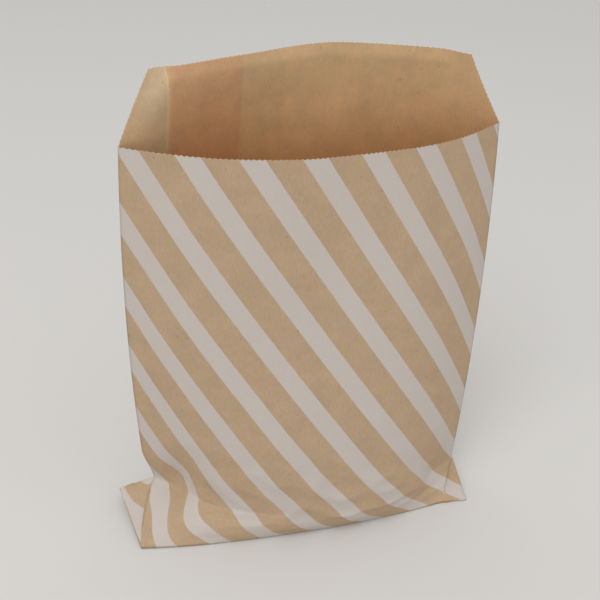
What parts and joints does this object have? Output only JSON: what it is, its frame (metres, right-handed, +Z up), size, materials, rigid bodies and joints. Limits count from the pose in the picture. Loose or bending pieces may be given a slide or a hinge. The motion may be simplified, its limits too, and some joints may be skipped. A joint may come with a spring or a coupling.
{
  "type": "paper bag",
  "caption": "Flat kraft paper bag, opened and standing on its spread bottom, with a pinked mouth, a taller pinked back flap and a slanted stripe print",
  "frame": {"origin": "middle of the bag's outline as seen from above, at the height of the surface it stands on", "axes": "+X to the bag's right seen from the front, -Y towards the front where the pocket's cut edge is lower, +Z up"},
  "size_m": [0.134, 0.0472, 0.174],
  "materials": {
    "kraft_paper": "matte kraft paper with off-white printed stripes"
  },
  "bodies": {
    "root": {"paper_bag": "kraft_paper"}
  },
  "joints": []
}
